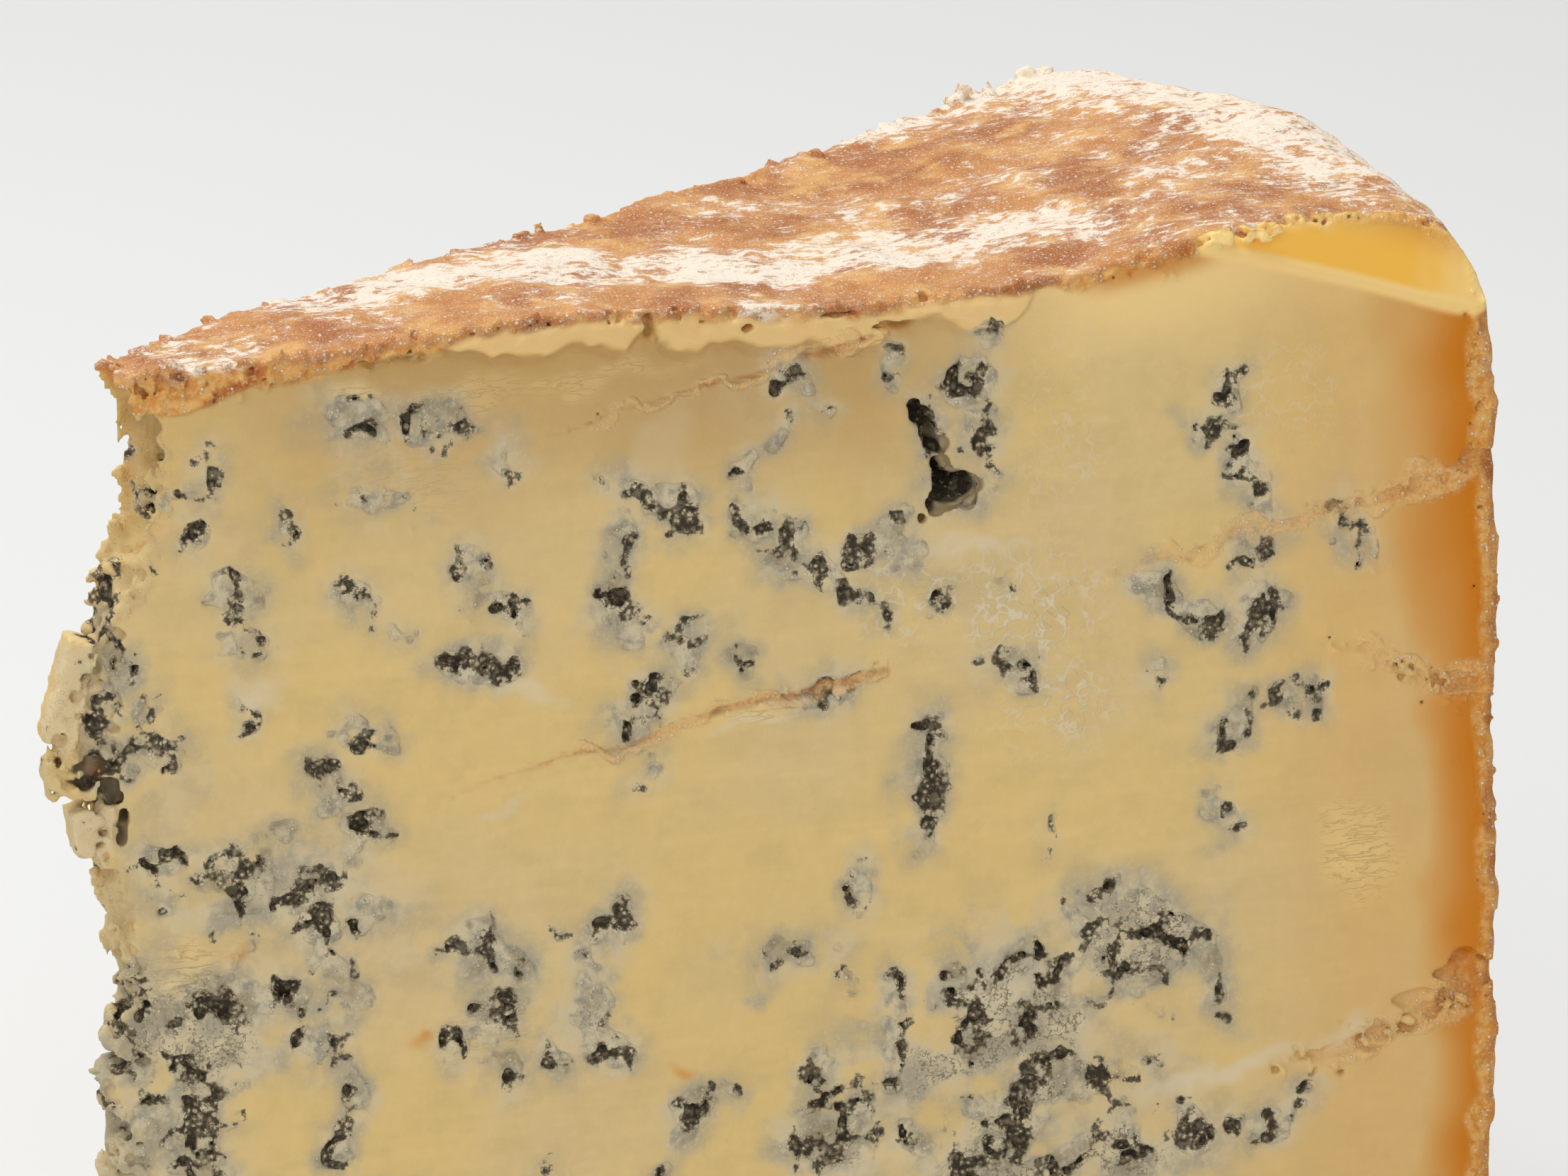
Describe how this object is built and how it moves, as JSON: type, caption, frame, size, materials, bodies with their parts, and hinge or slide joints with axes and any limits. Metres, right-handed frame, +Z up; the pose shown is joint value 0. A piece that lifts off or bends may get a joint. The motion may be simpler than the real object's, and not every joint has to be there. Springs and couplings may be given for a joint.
{
  "type": "wedge of blue-veined cheese",
  "caption": "Wedge of crumbly blue-veined cheese cut from a tall drum, with the old brown rind on top and round the outside.",
  "frame": {"origin": "middle of the bounding box, on the level cut that the wedge stands on", "axes": "+Z up; the tip points to -X and the rind is at +X; the front cut face looks along -Y"},
  "size_m": [0.1004, 0.0492, 0.0935],
  "materials": {
    "cheese": "matt, slightly waxy cream-yellow paste with blue-grey veins, under a dry, powdery orange-brown rind"
  },
  "bodies": {
    "root": {"cheese_wedge": "cheese"}
  },
  "joints": []
}
